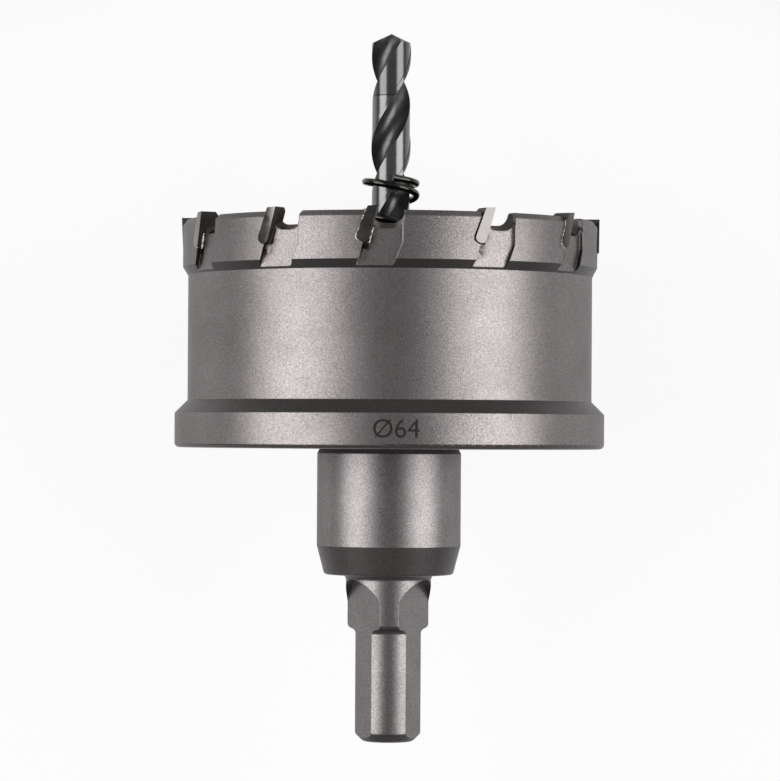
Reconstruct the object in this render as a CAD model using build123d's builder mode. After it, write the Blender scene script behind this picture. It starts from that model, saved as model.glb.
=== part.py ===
from build123d import *
from math import acos, cos, degrees, radians, sin, tan
import os

# A carbide tipped hole saw on its own arbor, lying on its side.
# The tool's axis is +Y and the drill points along +Y. The origin is on the axis,
# on the back face of the flange. Lengths along the axis are measured from there.
# Lengths are in millimetres and angles in degrees. A turn about the axis
# is counted from +Z towards +X.

# Cup
cutting_diameter = 64.0
side_clearance = 0.34  # how far the carbide stands out of the toothed band
band_step = 0.81  # the plain wall is this much smaller in radius than the band
wall_thickness = 1.55
cup_height = 34.5
cup_floor = 7.0
band_height = 7.05
band_run_in = 1.3
rim_bevel_width = 0.6
rim_bevel_height = 0.8
inner_rim_bevel_width = 0.3
floor_fillet = 1.2
flange_step = 1.95  # how far the flange stands out of the plain wall
flange_corner = 5.25  # the flange's cone starts here
flange_edge_radius = 0.75

# Teeth
tooth_count = 12
first_tooth_angle = -1.5
first_tooth_lag = 1.7  # the first tooth sits this much behind an even spacing
tip_thickness = 1.45  # at the top
tip_foot_thickness = 1.8
tip_length = 5.7
tip_tilt = 17.0
inner_clearance = 0.25  # how far the carbide stands into the cup
tip_above_rim = 0.62
tip_top_relief = 3.0
tip_side_relief = 4.0
tip_bottom_radius = 0.75
tip_inner_bevel = 0.55
gullet_width = 4.7
gullet_corner_radius = 1.75
gullet_centre = 1.35  # from the cutting corner, in the cutting direction
gullet_depth = 3.1
gullet_slope = 27.0
gullet_lip = 0.7
groove_depth = 0.76
groove_width = 3.55  # from the cutting corner
groove_behind = 0.6  # how far the groove reaches back under the tip
groove_foot = 1.0  # height of the groove's end above the start of the band
groove_corner_width = 2.15
groove_corner_height = 3.3
groove_foot_radius = 0.8
groove_corner_radius = 1.8

# Arbor
spigot_diameter = 18.0
hub_diameter = 22.0
hub_length = 19.25
hub_neck_bevel = 0.4
hub_taper_length = 4.4
hub_end_diameter = 19.7
hub_end_round = 0.5
neck_diameter = 13.0
neck_length = 8.05
neck_root_radius = 0.9
neck_corner_radius = 0.7
shoulder_drop = 0.45  # the shoulder falls this much from the neck to the shank
shoulder_radius = 0.7
shank_diameter = 10.0
shank_length = 17.4  # from the neck's lower corner to the end
shank_end_bevel = 1.2
shank_end_round = 0.8
flat_count = 3
flat_distance = 4.4  # from the axis to each chuck flat
first_flat_angle = 61.3
flat_cutter_diameter = 10.0
flat_start = 0.7  # from the hub's end face to the round top of the flats

# Pilot drill
drill_diameter = 6.0
drill_length = 80.0
bore_depth = 16.55  # the drill's seat, from the flange's back face
drill_shank_undersize = 0.04
point_angle = 128.0
flute_pitch = 28.16
flute_length = 48.0
flute_radius = 2.3
web_thickness = 1.3
flute_angle_at_point = 1.9
margin_height = 0.1
margin_width = 0.7
run_out_length = 7.0
drill_flat_depth = 0.5
drill_flat_length = 9.0

# Clamping screw for the drill
screw_diameter = 6.0
screw_clearance = 0.06
screw_distance = 10.0  # from the flange's back face towards the shank
screw_angle = 181.3  # in line with the second chuck flat
screw_sunk_depth = 0.6
screw_socket_width = 3.0
screw_socket_depth = 2.4
screw_bevel_width = 0.5

# Ejector spring
wire_diameter = 1.05
spring_diameter = 8.9
spring_length = 34.7
spring_turns = 7.9
closed_turns = 0.9
opening_turns = 0.3
closed_pitch = 1.08
end_coil_lean = 0.4
spring_end_angle = 4.5
points_in_a_turn = 8

# Radii and heights that follow from the sizes above
cutting_radius = cutting_diameter / 2
band_radius = cutting_radius - side_clearance
wall_radius = band_radius - band_step
inner_radius = wall_radius - wall_thickness
flange_radius = wall_radius + flange_step
band_start = cup_height - band_height
cone_top = flange_corner + flange_step
tip_top = cup_height + tip_above_rim
tip_inner_radius = inner_radius - inner_clearance
groove_floor = band_radius - groove_depth
hub_radius = hub_diameter / 2
neck_radius = neck_diameter / 2
shank_radius = shank_diameter / 2
neck_end = -hub_length - neck_length
shank_end = neck_end - shank_length
drill_radius = drill_diameter / 2
spring_top = cup_floor + spring_length
drill_seat = -bore_depth
drill_point = drill_seat + drill_length
screw_radius = screw_diameter / 2
beyond = 2.0  # how far a cut runs past the surface that it opens

os.makedirs("parts", exist_ok=True)


def across(turn):
    # A plane through the origin that faces outwards at a turn about the axis.
    # Its x is the cutting direction and its y is the axis.
    outwards = Vector(sin(radians(turn)), 0, cos(radians(turn)))
    sideways = Vector(cos(radians(turn)), 0, -sin(radians(turn)))
    return Plane(origin=(0, 0, 0), x_dir=sideways, z_dir=outwards)


def end_on(turn, height):
    # A plane square to the axis, seen from the shank, with its y pointing outwards.
    sideways = Vector(cos(radians(turn)), 0, -sin(radians(turn)))
    return Plane(origin=(0, height, 0), x_dir=sideways, z_dir=(0, -1, 0))


tooth_turns = [first_tooth_angle + 360 / tooth_count * number for number in range(tooth_count)]
tooth_turns[0] -= first_tooth_lag
flat_turns = [first_flat_angle + 360 / flat_count * number for number in range(flat_count)]

# The tip's outline, seen from outside: a thin plate that leans forward and widens
# towards its rounded foot, with its cutting corner on x = 0.
lean = Vector(-sin(radians(tip_tilt)), -cos(radians(tip_tilt)))
behind = Vector(-cos(radians(tip_tilt)), sin(radians(tip_tilt)))
corner = Vector(0, tip_top)
front_foot = corner + lean * tip_length
back_foot = front_foot + behind * tip_foot_thickness
top_width = tip_thickness / cos(radians(tip_tilt))
back_top = Vector(-top_width, tip_top - top_width * tan(radians(tip_top_relief)))


def foot_vertices(sketch):
    return sketch.vertices().sort_by(Axis.Y)[:2]


def vertex_at(sketch, x, y):
    return sketch.vertices().sort_by_distance((x, y))[0]


# The cup is turned in one piece with its flange: floor, thin wall and toothed band.
with BuildPart() as saw_cup:
    with BuildSketch(Plane.XY) as cup_profile:
        with BuildLine():
            Polyline(
                (flange_radius, 0),
                (flange_radius, flange_corner),
                (wall_radius, cone_top),
                (wall_radius, band_start - band_run_in),
                (band_radius, band_start),
                (band_radius, cup_height - rim_bevel_height),
                (band_radius - rim_bevel_width, cup_height),
                (inner_radius + inner_rim_bevel_width, cup_height),
                (inner_radius, cup_height - inner_rim_bevel_width),
                (inner_radius, cup_floor),
                (spigot_diameter / 2, cup_floor),
                (spigot_diameter / 2, 0),
                close=True,
            )
        make_face()
        fillet(vertex_at(cup_profile, flange_radius, 0), flange_edge_radius)
        fillet(vertex_at(cup_profile, inner_radius, cup_floor), floor_fillet)
    revolve(axis=Axis.Y)
    for turn in tooth_turns:
        # A slanted chip groove, milled flat into the band in front of each tip
        groove_foot_height = band_start - groove_foot
        groove_lean = (tip_top - groove_foot_height) * tan(radians(tip_tilt))
        with BuildSketch(across(turn).offset(groove_floor)) as groove:
            with BuildLine():
                Polyline(
                    (-groove_behind, tip_top),
                    (-groove_behind - groove_lean, groove_foot_height),
                    (groove_corner_width, groove_foot_height),
                    (groove_width, groove_foot_height + groove_corner_height),
                    (groove_width, tip_top),
                    close=True,
                )
            make_face()
            fillet(vertex_at(groove, groove_corner_width, groove_foot_height), groove_foot_radius)
            corner_top = groove_foot_height + groove_corner_height
            fillet(vertex_at(groove, groove_width, corner_top), groove_corner_radius)
        extrude(amount=beyond, mode=Mode.SUBTRACT)
        # The gullet through the rim, whose floor falls outwards so that chips leave
        gullet_floor = cup_height - gullet_depth
        gullet_side = gullet_centre + gullet_width / 2
        with BuildSketch(across(turn).offset(band_radius)) as gullet:
            with BuildLine():
                Polyline(
                    (gullet_side - gullet_width, gullet_floor),
                    (gullet_side - gullet_width, tip_top + beyond),
                    (gullet_side + gullet_lip, tip_top + beyond),
                    (gullet_side + gullet_lip, cup_height),
                    (gullet_side, cup_height - gullet_lip),
                    (gullet_side, gullet_floor),
                    close=True,
                )
            make_face()
            fillet(foot_vertices(gullet), gullet_corner_radius)
        slope = Vector(0, sin(radians(gullet_slope)), 0)
        inwards = across(turn).z_dir * -cos(radians(gullet_slope))
        reach = (band_radius - inner_radius + beyond) / cos(radians(gullet_slope))
        extrude(amount=reach, dir=inwards + slope, mode=Mode.SUBTRACT)
        # The seat that the tip is brazed into, open at the rim
        with BuildSketch(across(turn).offset(tip_inner_radius - beyond)) as seat:
            with BuildLine():
                Polyline(corner, front_foot, back_foot, back_top, close=True)
            make_face()
            fillet(foot_vertices(seat), tip_bottom_radius)
        extrude(amount=cutting_radius - tip_inner_radius + 2 * beyond, mode=Mode.SUBTRACT)
saw_cup.part.label = "saw_cup"
export_step(saw_cup.part, "parts/saw_cup.step")

# Twelve carbide tips, each ground back from its cutting corner on the top and outside
for number, turn in enumerate(tooth_turns, 1):
    with BuildPart() as tip:
        with BuildSketch(across(turn).offset(tip_inner_radius - beyond)) as outline:
            with BuildLine():
                Polyline(corner, front_foot, back_foot, back_top, close=True)
            make_face()
            fillet(foot_vertices(outline), tip_bottom_radius)
        extrude(amount=cutting_radius - tip_inner_radius + 2 * beyond)
        relief_run = tip_length
        relief_drop = relief_run * tan(radians(tip_side_relief))
        with BuildSketch(end_on(turn, tip_top + beyond)):
            with BuildLine():
                Polyline(
                    (0, cutting_radius),
                    (-relief_run, cutting_radius - relief_drop),
                    (-relief_run, tip_inner_radius),
                    (0, tip_inner_radius),
                    close=True,
                )
            make_face()
        extrude(amount=tip_length + 2 * beyond, mode=Mode.INTERSECT)
        top_edges = tip.faces().sort_by(Axis.Y)[-1].edges()
        inner_edge = top_edges.sort_by(lambda edge: abs(across(turn).to_local_coords(edge.center()).Z))[0]
        chamfer(inner_edge, tip_inner_bevel)
    tip.part.label = f"carbide_tip_{number:02d}"
    export_step(tip.part, f"parts/carbide_tip_{number:02d}.step")

# The arbor is turned from one bar: a spigot in the cup's floor, the hub, the neck
# and the three-flat chuck shank. It is bored for the drill and tapped for its screw.
with BuildPart() as arbor:
    with BuildSketch(Plane.XY) as arbor_profile:
        with BuildLine():
            Polyline(
                (0, cup_floor),
                (spigot_diameter / 2, cup_floor),
                (spigot_diameter / 2, 0),
                (hub_radius - hub_neck_bevel, 0),
                (hub_radius, -2 * hub_neck_bevel),
                (hub_radius, -hub_length + hub_taper_length),
                (hub_end_diameter / 2, -hub_length),
                (neck_radius, -hub_length),
                (neck_radius, neck_end),
                (shank_radius, neck_end - shoulder_drop),
                (shank_radius, shank_end + shank_end_bevel),
                (shank_radius - shank_end_bevel, shank_end),
                (0, shank_end),
                close=True,
            )
        make_face()
        fillet(vertex_at(arbor_profile, hub_end_diameter / 2, -hub_length), hub_end_round)
        fillet(vertex_at(arbor_profile, neck_radius, -hub_length), neck_root_radius)
        fillet(vertex_at(arbor_profile, neck_radius, neck_end), neck_corner_radius)
        fillet(vertex_at(arbor_profile, shank_radius, neck_end - shoulder_drop), shoulder_radius)
        fillet(vertex_at(arbor_profile, shank_radius, shank_end + shank_end_bevel), shank_end_round)
        fillet(vertex_at(arbor_profile, shank_radius - shank_end_bevel, shank_end), shank_end_round)
    revolve(axis=Axis.Y)
    mill_radius = flat_cutter_diameter / 2
    flats_begin = -hub_length - flat_start
    for turn in flat_turns:
        # A chuck flat along the neck and shank, with the end mill's round top
        with BuildSketch(across(turn).offset(flat_distance)):
            with BuildLine():
                Polyline(
                    (-mill_radius, flats_begin - mill_radius),
                    (-mill_radius, shank_end - beyond),
                    (mill_radius, shank_end - beyond),
                    (mill_radius, flats_begin - mill_radius),
                )
                ThreePointArc(
                    (mill_radius, flats_begin - mill_radius),
                    (0, flats_begin),
                    (-mill_radius, flats_begin - mill_radius),
                )
            make_face()
        extrude(amount=neck_radius - flat_distance + beyond, mode=Mode.SUBTRACT)
    # The blind bore that seats the drill
    with BuildSketch(Plane.XY):
        with BuildLine():
            Polyline(
                (0, cup_floor),
                (drill_radius, cup_floor),
                (drill_radius, drill_seat),
                (0, drill_seat),
                close=True,
            )
        make_face()
    revolve(axis=Axis.Y, mode=Mode.SUBTRACT)
    # The tapped hole for the clamping screw
    with BuildSketch(across(screw_angle)):
        with Locations((0, -screw_distance)):
            Circle(screw_radius)
    extrude(amount=hub_radius + beyond, mode=Mode.SUBTRACT)
arbor.part.label = "arbor"
export_step(arbor.part, "parts/arbor.step")

# The pilot drill: two right-hand flutes, a narrow margin on each land, a plain
# shank that seats in the bore, and a small flat under the clamping screw
flute_end = drill_point - flute_length
flute_offset = web_thickness / 2 + flute_radius
twist = 360 * flute_length / flute_pitch
start_turn = flute_angle_at_point - twist
body_radius = drill_radius - margin_height
shank_of_drill = drill_radius - drill_shank_undersize / 2
point_height = drill_radius / tan(radians(point_angle / 2))
flute_half_angle = degrees(acos(
    (drill_radius**2 + flute_offset**2 - flute_radius**2) / (2 * drill_radius * flute_offset)))
margin_angle = degrees(margin_width / drill_radius)

with BuildSketch() as drill_section:
    Circle(body_radius)
    for side in (0, 180):
        # A margin is the strip of full diameter that follows each flute
        with BuildLine():
            first = flute_half_angle - 2
            last = flute_half_angle + margin_angle
            lead_in = Vector(drill_radius, 0).rotate(Axis.Z, side - first)
            lead_out = Vector(drill_radius, 0).rotate(Axis.Z, side - last)
            middle = Vector(drill_radius, 0).rotate(Axis.Z, side - (first + last) / 2)
            ThreePointArc(lead_in, middle, lead_out)
            Line(lead_out, (0, 0))
            Line((0, 0), lead_in)
        make_face()
    for side in (0, 180):
        with Locations(Vector(flute_offset, 0).rotate(Axis.Z, side)):
            Circle(flute_radius, mode=Mode.SUBTRACT)

across_drill = Plane(
    origin=(0, flute_end, 0), x_dir=across(start_turn).z_dir, z_dir=(0, 1, 0))
turned_section = across_drill * drill_section.sketch.face()
fluted_length = Solid.extrude_linear_with_rotation(
    turned_section, (0, flute_end, 0), (0, flute_length, 0), twist)

with BuildPart() as pilot_drill:
    add(fluted_length)
    with BuildSketch(Plane.XY):
        with BuildLine():
            Polyline(
                (0, flute_end - beyond),
                (drill_radius + beyond, flute_end - beyond),
                (drill_radius + beyond, drill_point - point_height * (1 + beyond / drill_radius)),
                (0, drill_point),
                close=True,
            )
        make_face()
    revolve(axis=Axis.Y, mode=Mode.INTERSECT)
    with BuildSketch(Plane.XY):
        with BuildLine():
            Polyline(
                (0, drill_seat),
                (shank_of_drill, drill_seat),
                (shank_of_drill, flute_end),
                (web_thickness / 2, flute_end + run_out_length),
                (0, flute_end + run_out_length),
                close=True,
            )
        make_face()
    revolve(axis=Axis.Y)
    with BuildSketch(across(screw_angle).offset(drill_radius - drill_flat_depth)):
        with Locations((0, -screw_distance)):
            Rectangle(drill_diameter, drill_flat_length)
    extrude(amount=beyond, mode=Mode.SUBTRACT)
pilot_drill.part.label = "pilot_drill"
export_step(pilot_drill.part, "parts/pilot_drill.step")

# The ejector spring, wound left-handed round the drill, with a closed coil at each
# end that leans a little because the ends aren't ground
coil_radius = (spring_diameter - wire_diameter) / 2
steps = round(spring_turns * points_in_a_turn)
openings = [
    min(max(min(step, steps - step) / points_in_a_turn - closed_turns, 0) / opening_turns, 1)
    for step in range(steps + 1)
]
open_share = sum(openings[1:]) / points_in_a_turn
free_rise = spring_length - wire_diameter - closed_pitch * steps / points_in_a_turn
open_pitch = closed_pitch + free_rise / open_share
wire_points = []
height = spring_top - wire_diameter / 2
for step, opening in enumerate(openings):
    if step:
        height -= (closed_pitch + (open_pitch - closed_pitch) * opening) / points_in_a_turn
    turn = radians(spring_end_angle + 360 * step / points_in_a_turn)
    lean_down = end_coil_lean * (1 - opening) * sin(turn - radians(spring_end_angle))
    if step > steps / 2:
        lean_down = 0
    wire_points.append((coil_radius * sin(turn), height - lean_down, coil_radius * cos(turn)))

with BuildPart() as ejector_spring:
    with BuildLine() as wire_path:
        Spline(*wire_points)
    with BuildSketch(Plane(origin=wire_path.line @ 0, z_dir=wire_path.line % 0)):
        Circle(wire_diameter / 2)
    sweep(path=wire_path.line, is_frenet=False)
ejector_spring.part.label = "ejector_spring"
export_step(ejector_spring.part, "parts/ejector_spring.step")

# The socket screw that clamps the drill, its cup end on the drill's flat
with BuildPart() as clamping_screw:
    screw_outer_end = hub_radius - screw_sunk_depth
    screw_inner_end = drill_radius - drill_flat_depth
    with BuildSketch(across(screw_angle).offset(screw_inner_end)):
        with Locations((0, -screw_distance)):
            Circle(screw_radius - screw_clearance)
    extrude(amount=screw_outer_end - screw_inner_end)
    chamfer(clamping_screw.edges(), screw_bevel_width)
    with BuildSketch(across(screw_angle).offset(screw_outer_end)):
        with Locations((0, -screw_distance)):
            RegularPolygon(screw_socket_width / 2, 6, major_radius=False)
    extrude(amount=-screw_socket_depth, mode=Mode.SUBTRACT)
clamping_screw.part.label = "clamping_screw"
export_step(clamping_screw.part, "parts/clamping_screw.step")
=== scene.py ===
from math import cos, pi, radians, sin, sqrt, tan

import bmesh
import bpy
from mathutils import Matrix, Vector


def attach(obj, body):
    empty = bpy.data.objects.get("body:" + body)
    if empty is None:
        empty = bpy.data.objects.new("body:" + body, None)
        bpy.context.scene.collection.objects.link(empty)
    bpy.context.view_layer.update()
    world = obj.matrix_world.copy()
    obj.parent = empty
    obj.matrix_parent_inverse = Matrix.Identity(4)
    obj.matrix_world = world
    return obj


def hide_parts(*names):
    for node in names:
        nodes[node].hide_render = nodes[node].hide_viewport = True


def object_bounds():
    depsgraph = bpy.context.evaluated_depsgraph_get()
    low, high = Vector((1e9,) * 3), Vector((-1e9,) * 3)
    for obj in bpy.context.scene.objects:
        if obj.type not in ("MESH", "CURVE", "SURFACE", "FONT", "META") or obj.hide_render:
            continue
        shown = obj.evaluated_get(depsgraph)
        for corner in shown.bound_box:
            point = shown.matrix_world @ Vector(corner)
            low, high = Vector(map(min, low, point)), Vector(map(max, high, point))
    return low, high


# Carbide tipped hole saw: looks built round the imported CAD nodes.
# Row frame in metres, tool axis along +Y, drill point towards +Y, lying on its side.

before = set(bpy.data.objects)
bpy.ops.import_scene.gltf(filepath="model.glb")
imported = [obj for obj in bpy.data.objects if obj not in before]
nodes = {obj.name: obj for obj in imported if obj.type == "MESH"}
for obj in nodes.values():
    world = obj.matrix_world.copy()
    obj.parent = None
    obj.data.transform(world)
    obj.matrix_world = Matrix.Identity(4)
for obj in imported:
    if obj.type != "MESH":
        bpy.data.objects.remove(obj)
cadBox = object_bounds()
mm = 0.001
scene = bpy.context.scene
bevelSamples = 6
curveSteps = 6  # straight runs between two points of a curve
noiseSpan = (0.3, 0.7)  # nearly all values of a noise texture lie in it
print("frame: loaded", len(nodes), "CAD nodes")


def linearColour(hexText):
    # sRGB hex to the linear values that the sockets take
    shares = [int(hexText[place:place + 2], 16) / 255 for place in (1, 3, 5)]
    linear = [share / 12.92 if share <= 0.04045 else ((share + 0.055) / 1.055) ** 2.4
              for share in shares]
    return linear + [1.0]


def addNode(tree, kind, settings=(), inputs=()):
    node = tree.nodes.new(kind)
    for name, value in dict(settings).items():
        setattr(node, name, value)
    for name, value in dict(inputs).items():
        if isinstance(value, bpy.types.NodeSocket):
            tree.links.new(value, node.inputs[name])
        else:
            node.inputs[name].default_value = value
    return node


def startMaterial(name, shaderInputs=()):
    material = bpy.data.materials.new(name)
    material.use_nodes = True
    tree = material.node_tree
    tree.nodes.clear()
    shader = addNode(tree, "ShaderNodeBsdfPrincipled", (), shaderInputs)
    addNode(tree, "ShaderNodeOutputMaterial", (), {"Surface": shader.outputs["BSDF"]})
    place = addNode(tree, "ShaderNodeTexCoord").outputs["Object"]
    return material, tree, shader, place


def dress(node, material):
    for place in range(len(node.data.materials)):
        node.material_slots[place].material = material
    if not node.data.materials:
        node.data.materials.append(material)


def fromAxis(tree, axes):
    # A point's distance from the tool's axis
    across = addNode(tree, "ShaderNodeCombineXYZ", (), {
        "X": axes.outputs["X"], "Z": axes.outputs["Z"]})
    radius = addNode(tree, "ShaderNodeVectorMath", {"operation": "LENGTH"}, {
        0: across.outputs["Vector"]})
    return radius.outputs["Value"]


# Main sizes of the cup and its teeth, in millimetres and degrees, as the CAD has them
tooth = {
    "count": 12,
    "firstAngle": -1.5,
    "firstLag": 1.7,  # the first tooth sits this much behind the even spacing
    "tilt": 17.0,
    "tipTop": 35.12,
    "tipLength": 5.7,
    "tipThickness": 1.45,
    "footThickness": 1.8,
    "footRadius": 0.75,
    "bandRadius": 31.66,
    "grooveFloor": 30.9,
    "innerRadius": 29.3,
    "gulletFloor": 31.4,
    "rimHeight": 34.5,
}

# Tool steel, heat treated and blasted with fine grit. The eye gets a soft satin sheen
# that spreads each lamp into a wide band, a fine sparkle, and thin bright worn edges.
blastedSteel = {
    "colour": "#9c9696",
    "shade": "#686464",
    "roughness": (0.44, 0.36),  # where it is shaded and where it is bright
    "grain": 0.24,  # mm, coarser than the real grit of 0.1 mm so that it shows
    "grainDepth": 0.026,
    "grainSpan": (0.32, 0.68),  # the noise values that the tone follows
    "grainTone": (0.1, 0.9),
    "cloud": 7.0,  # mm, the slow change of tone left by heat treatment
    "cloudSpan": (0.35, 0.65),
    "cloudShare": 0.14,
    "turningPitch": 0.22,  # mm, rings left by the lathe under the blasting
    "turningDepth": 0.0012,
    "edgeRound": 0.22,
    "lowEdgeRound": 0.06,  # where the flange and the arbor have rounded edges of their own
    "lowEdge": (1.2, 2.0),  # mm along the axis, from the one rounding to the other
    "edgeTint": 0.6,  # dims the reflections at the sides, where steel is seen at a flat angle
    "shadeTone": "#868282",  # painted shade on chamfers and tapers, a tone times the steel's own
    "underBandShade": "#656262",  # painted shade under the toothed band, darker than on the other slopes
    "shelteredAbove": 15.0,  # mm along the axis
    # metal left where the painted shade is
    "shadeMetal": 0.27,
    "shadedBelow": 33.6,  # mm along the axis: the rim's chamfer above it gets no painted shade
    "slopeStart": (0.15, 0.24),  # sine of the slope at which the painted shade comes in
    "slopeEnd": (0.88, 0.80),  # and goes out again, towards faces square to the axis
}

# The arbor is bar steel with the same blasting, turned a little finer
barSteel = dict(blastedSteel, colour="#9a9595", shade="#666363", turningPitch=0.16,
                cloud=5.0, lowEdgeRound=0.15)


def paintShadeOnSlopes(tree, axes, values):
    # Painted shade on chamfers and tapers: a darker tone and less metal give even dark bands
    # round the tool, nearly without shine.
    geometry = addNode(tree, "ShaderNodeNewGeometry")
    facing = addNode(tree, "ShaderNodeSeparateXYZ", (), {"Vector": geometry.outputs["Normal"]})
    slant = addNode(tree, "ShaderNodeMath", {"operation": "ABSOLUTE"}, {0: facing.outputs["Y"]})
    leaning = addNode(tree, "ShaderNodeMapRange", (), {
        "Value": slant.outputs["Value"], "From Min": values["slopeStart"][0],
        "From Max": values["slopeStart"][1]})
    notSquare = addNode(tree, "ShaderNodeMapRange", (), {
        "Value": slant.outputs["Value"], "From Min": values["slopeEnd"][0],
        "From Max": values["slopeEnd"][1]})
    below = addNode(tree, "ShaderNodeMath", {"operation": "LESS_THAN"}, {
        0: axes.outputs["Y"], 1: values["shadedBelow"] * mm})
    both = addNode(tree, "ShaderNodeMath", {"operation": "MULTIPLY"}, {
        0: leaning.outputs["Result"], 1: notSquare.outputs["Result"]})
    paintedShade = addNode(tree, "ShaderNodeMath", {"operation": "MULTIPLY"}, {
        0: both.outputs["Value"], 1: below.outputs["Value"]})
    return paintedShade.outputs["Value"]


def steelSurface(tree, shader, place, values):
    cloud = addNode(tree, "ShaderNodeTexNoise", (), {
        "Vector": place, "Scale": 1 / (values["cloud"] * mm), "Detail": 3.0, "Roughness": 0.55})
    grain = addNode(tree, "ShaderNodeTexNoise", (), {
        "Vector": place, "Scale": 1 / (values["grain"] * mm), "Detail": 3.0, "Roughness": 0.7})
    axes = addNode(tree, "ShaderNodeSeparateXYZ", (), {"Vector": place})
    rings = addNode(tree, "ShaderNodeTexNoise", {"noise_dimensions": "1D"}, {
        "W": axes.outputs["Y"], "Scale": 1 / (values["turningPitch"] * mm), "Detail": 1.0})
    tone = addNode(tree, "ShaderNodeMapRange", (), {
        "Value": cloud.outputs["Fac"], "From Min": values["cloudSpan"][0],
        "From Max": values["cloudSpan"][1]})
    speck = addNode(tree, "ShaderNodeMapRange", (), {
        "Value": grain.outputs["Fac"], "From Min": values["grainSpan"][0],
        "From Max": values["grainSpan"][1], "To Min": values["grainTone"][0],
        "To Max": values["grainTone"][1]})
    share = addNode(tree, "ShaderNodeMath", {"operation": "MULTIPLY_ADD"}, {
        0: tone.outputs["Result"], 1: values["cloudShare"], 2: speck.outputs["Result"]})
    share = addNode(tree, "ShaderNodeMath", {"operation": "SUBTRACT", "use_clamp": True}, {
        0: share.outputs["Value"], 1: values["cloudShare"] / 2})
    colour = addNode(tree, "ShaderNodeMix", {"data_type": "RGBA"}, {
        0: share.outputs["Value"], 6: linearColour(values["shade"]),
        7: linearColour(values["colour"])})
    # painted shade: chamfers and tapers darkened, more so under the toothed band
    paintedShade = paintShadeOnSlopes(tree, axes, values)
    sheltered = addNode(tree, "ShaderNodeMath", {"operation": "GREATER_THAN"}, {
        0: axes.outputs["Y"], 1: values["shelteredAbove"] * mm})
    slopeShadeTone = addNode(tree, "ShaderNodeMix", {"data_type": "RGBA"}, {
        0: sheltered.outputs["Value"], 6: linearColour(values["shadeTone"]),
        7: linearColour(values["underBandShade"])})
    colour = addNode(tree, "ShaderNodeMix", {"data_type": "RGBA", "blend_type": "MULTIPLY"}, {
        0: paintedShade, 6: colour.outputs[2], 7: slopeShadeTone.outputs[2]})
    metal = addNode(tree, "ShaderNodeMapRange", (), {
        "Value": paintedShade, "To Min": 1.0, "To Max": values["shadeMetal"]})
    rough = addNode(tree, "ShaderNodeMapRange", (), {
        "Value": share.outputs["Value"], "To Min": values["roughness"][0],
        "To Max": values["roughness"][1]})
    # The flange's own rounding is in the solid, so hardly any is added there
    edge = addNode(tree, "ShaderNodeMapRange", (), {
        "Value": axes.outputs["Y"], "From Min": values["lowEdge"][0] * mm,
        "From Max": values["lowEdge"][1] * mm, "To Min": values["lowEdgeRound"] * mm,
        "To Max": values["edgeRound"] * mm})
    rounded = addNode(tree, "ShaderNodeBevel", {"samples": bevelSamples}, {
        "Radius": edge.outputs["Result"]})
    ringBump = addNode(tree, "ShaderNodeBump", (), {
        "Height": rings.outputs["Fac"], "Distance": values["turningDepth"] * mm,
        "Normal": rounded.outputs["Normal"]})
    grainBump = addNode(tree, "ShaderNodeBump", (), {
        "Height": grain.outputs["Fac"], "Distance": values["grainDepth"] * mm,
        "Normal": ringBump.outputs["Normal"]})
    tree.links.new(metal.outputs["Result"], shader.inputs["Metallic"])
    tree.links.new(grainBump.outputs["Normal"], shader.inputs["Normal"])
    tree.links.new(rough.outputs["Result"], shader.inputs["Roughness"])
    shader.inputs["Specular Tint"].default_value = [values["edgeTint"]] * 3 + [1.0]
    return axes, colour.outputs[2]


def fromCuttingFace(tree, axes):
    # Arc length from the leaning cutting face of the point's own tooth, in metres
    step = 2 * pi / tooth["count"]
    first = radians(tooth["firstAngle"])
    lag = radians(tooth["firstLag"])
    floor = tooth["grooveFloor"] * mm
    lean = tan(radians(tooth["tilt"]))
    turn = addNode(tree, "ShaderNodeMath", {"operation": "ARCTAN2"}, {
        0: axes.outputs["X"], 1: axes.outputs["Z"]})
    isFirst = addNode(tree, "ShaderNodeMath", {"operation": "COMPARE"}, {
        0: turn.outputs["Value"], 1: first - lag, 2: step / 2})
    turn = addNode(tree, "ShaderNodeMath", {"operation": "MULTIPLY_ADD"}, {
        0: isFirst.outputs["Value"], 1: lag, 2: turn.outputs["Value"]})
    shifted = addNode(tree, "ShaderNodeMath", {"operation": "SUBTRACT"}, {
        0: turn.outputs["Value"], 1: first - step / 2})
    wrapped = addNode(tree, "ShaderNodeMath", {"operation": "FLOORED_MODULO"}, {
        0: shifted.outputs["Value"], 1: step})
    arc = addNode(tree, "ShaderNodeMath", {"operation": "MULTIPLY_ADD"}, {
        0: wrapped.outputs["Value"], 1: floor, 2: -step / 2 * floor})
    fall = addNode(tree, "ShaderNodeMath", {"operation": "MULTIPLY_ADD"}, {
        0: axes.outputs["Y"], 1: -lean, 2: tooth["tipTop"] * mm * lean})
    distance = addNode(tree, "ShaderNodeMath", {"operation": "ADD"}, {
        0: arc.outputs["Value"], 1: fall.outputs["Value"]})
    return distance.outputs["Value"]


# A brown smear of burnt flux in each groove under its tip, darkest next to the cutting face,
# where it is also painted shade beside the groove's wall, in millimetres
fluxAndShade = {
    "thin": "#6b5f50",
    "thick": "#2c2520",
    "ahead": 1.7,  # its reach before the cutting face
    "behind": 0.7,
    "bottom": (26.6, 28.8),  # along the axis, from clean to smeared
    "top": (32.0, 30.4),
    "wall": (31.4, 31.2),  # from the axis, which keeps it in the groove
    "patch": 0.9,
    "patchSpan": (0.34, 0.56),
}


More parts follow.
